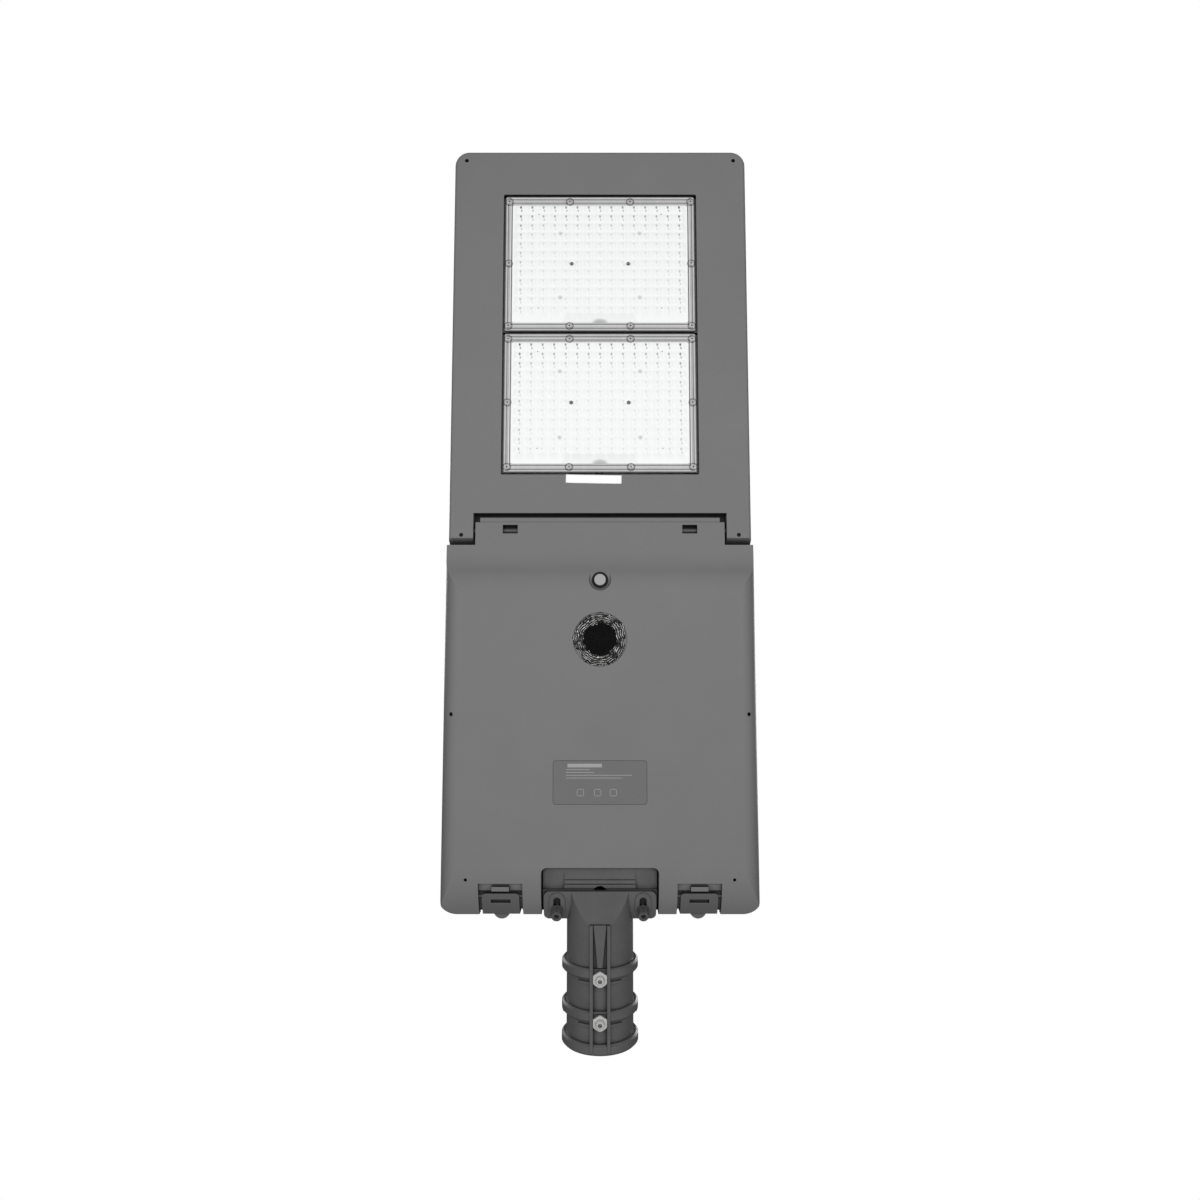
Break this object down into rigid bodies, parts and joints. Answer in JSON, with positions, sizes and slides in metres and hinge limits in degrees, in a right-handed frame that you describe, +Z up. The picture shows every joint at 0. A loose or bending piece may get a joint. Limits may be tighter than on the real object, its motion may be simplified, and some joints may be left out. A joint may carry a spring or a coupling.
{
  "type": "solar street lamp",
  "caption": "All-in-one solar street lamp: long flat head with panel on top, light modules and hinged battery door below, on a tilting pole spigot.",
  "frame": {"origin": "centre of the spigot's bore mouth", "axes": "+Y from the pole along the lamp to its head end, +Z up through the solar panel, light and door face -Z"},
  "size_m": [0.409, 1.185, 0.1042],
  "materials": {
    "painted_casting": "powder coat, fine texture",
    "stainless": "bright stainless",
    "dark_zinc": "dark zinc",
    "tray_plastic": "fine spark-eroded grain",
    "cover_plastic": "fine spark-eroded grain",
    "door_plastic": "fine spark-eroded grain",
    "latch_plastic": "fine spark-eroded grain",
    "clip_plastic": "moulded",
    "panel_glass": "textured solar glass",
    "silicon": "dark anti-reflective silicon",
    "tinned_ribbon": "tinned",
    "white_backsheet": "white film",
    "black_rubber": "matte",
    "black_plastic": "moulded",
    "galvanised": "galvanised",
    "heatsink_aluminium": "extruded, satin",
    "white_board": "white solder mask",
    "led_phosphor": "silicone over phosphor",
    "clear_lens": "clear polycarbonate",
    "cell_sleeve": "shrink sleeve over a drawn can",
    "lead_jacket": "silicone jacket",
    "label_film": "satin film",
    "smoked_window": "polished",
    "clear_sealant": "glossy silicone",
    "green_board": "solder mask",
    "button_metal": "blackened ring",
    "button_cap": "satin grey"
  },
  "bodies": {
    "spigot_base": {"spigot": "painted_casting", "set_screws": "stainless", "grub_screws": "stainless", "lock_nuts": "stainless"},
    "lamp_head": {"tilt_seat": "painted_casting", "seat_screws": "stainless", "tilt_bolts": "dark_zinc", "tilt_washers": "dark_zinc", "top_tray": "tray_plastic", "panel_clips": "clip_plastic", "clip_screws": "stainless", "panel_glass": "panel_glass", "panel_cells": "silicon", "panel_ribbons": "tinned_ribbon", "panel_backsheet": "white_backsheet", "panel_seal": "black_rubber", "junction_box": "black_plastic", "light_cover": "cover_plastic", "cover_screws": "dark_zinc", "module_screws": "stainless", "led_chips": "led_phosphor", "rim_screws": "stainless", "board_screws": "stainless", "chassis_plate": "galvanised", "chassis_screws": "stainless", "battery_case": "black_plastic", "battery_lid": "black_plastic", "battery_cells": "cell_sleeve", "battery_straps": "galvanised", "strap_screws": "stainless", "charge_controller": "heatsink_aluminium", "controller_screws": "stainless", "light_leads": "lead_jacket", "panel_leads": "lead_jacket", "battery_leads": "lead_jacket", "lead_grommet": "black_rubber", "door_seal": "black_rubber", "hinge_rod": "dark_zinc", "lens_plate_head": "clear_lens", "lens_plate_rear": "clear_lens", "lens_gasket_head": "black_rubber", "lens_gasket_rear": "black_rubber", "heatsink_head": "heatsink_aluminium", "heatsink_rear": "heatsink_aluminium", "led_board_head": "white_board", "led_board_rear": "white_board"},
    "door": {"battery_door": "door_plastic", "label_plate": "label_film", "sensor_window": "smoked_window", "sensor_bead": "clear_sealant", "sensor_board": "green_board", "button_body": "button_metal", "button_nut": "button_metal", "latch_pins": "dark_zinc"},
    "button": {"power_button": "button_cap"},
    "latch_lever_left": {"latch_left": "latch_plastic"},
    "latch_lever_right": {"latch_right": "latch_plastic"}
  },
  "joints": [
    {"name": "head_tilt", "type": "hinge", "parent": "spigot_base", "child": "lamp_head", "pos_m": [0, 0.187, 0.0463], "axis": [1, 0, 0], "range_deg": [0, 10]},
    {"name": "door_hinge", "type": "hinge", "parent": "lamp_head", "child": "door", "pos_m": [0, 0.6505, -0.001], "axis": [1, 0, 0], "range_deg": [0, 85]},
    {"name": "button_press", "type": "slide", "parent": "door", "child": "button", "axis": [0, 0, 1], "range_m": [0, 0.002], "stiffness_N_per_m": 400, "springref_m": -0.001},
    {"name": "latch_left_hinge", "type": "hinge", "parent": "door", "child": "latch_lever_left", "pos_m": [0, 0.181, -0.01902], "axis": [1, 0, 0], "range_deg": [0, 55]},
    {"name": "latch_right_hinge", "type": "hinge", "parent": "door", "child": "latch_lever_right", "pos_m": [0, 0.181, -0.01902], "axis": [1, 0, 0], "range_deg": [0, 55]}
  ]
}
